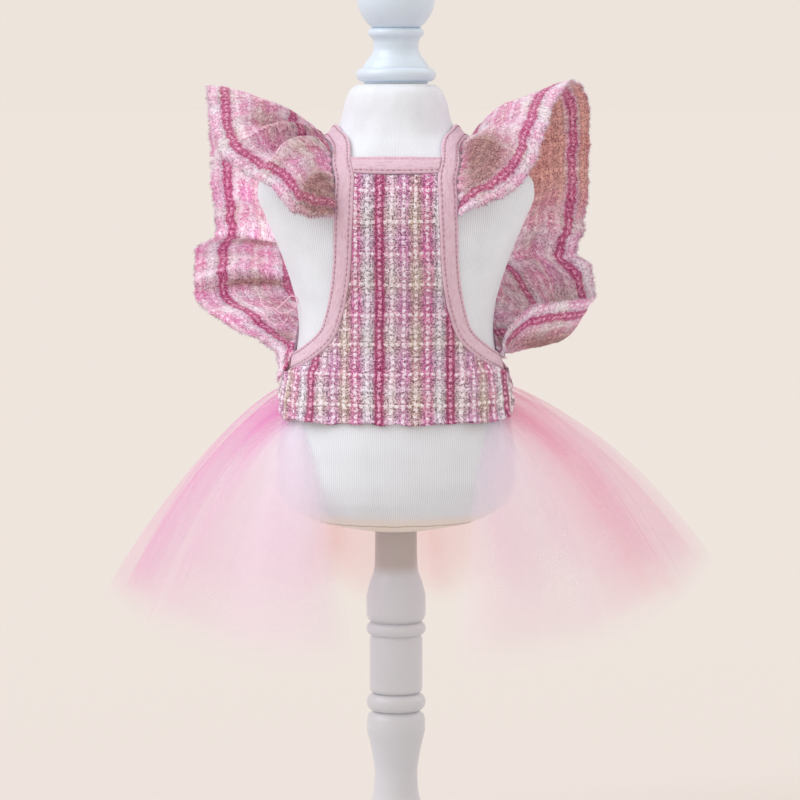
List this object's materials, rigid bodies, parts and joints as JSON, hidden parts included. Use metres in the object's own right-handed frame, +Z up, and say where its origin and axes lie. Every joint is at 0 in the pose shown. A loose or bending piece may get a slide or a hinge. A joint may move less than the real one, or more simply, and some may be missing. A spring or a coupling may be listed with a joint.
{
  "type": "pet dress on dress form",
  "caption": "Small dog's tweed dress with frilled armholes and an open-fronted tulle skirt, on a limbless dress form with a turned stand.",
  "frame": {"origin": "centre of the round base's underside, on the surface that it stands on", "axes": "+Z up along the post, -Y towards the front (the chest side), +X to the viewer's right from the front"},
  "size_m": [0.3259, 0.2084, 0.4937],
  "materials": {
    "tweed": "loose multicolour boucle weave, pink, magenta, white and beige, matt",
    "binding_tape": "smooth folded bias tape, dusty pink, stitched along both edges",
    "tulle": "sheer pink net, two layers",
    "knit_cover": "white fine-ribbed stretch knit",
    "painted_wood": "turned wood with white semi-gloss paint"
  },
  "bodies": {
    "root": {"chest_panel": "tweed", "back_panel": "tweed", "neck_binding_front": "binding_tape", "neck_binding_back": "binding_tape", "armhole_binding_right": "binding_tape", "armhole_binding_left": "binding_tape", "frill_right": "tweed", "frill_left": "tweed", "tulle_outer": "tulle", "tulle_inner": "tulle", "form_torso": "knit_cover", "form_cap": "painted_wood", "stand_post": "painted_wood", "stand_base": "painted_wood"}
  },
  "joints": []
}
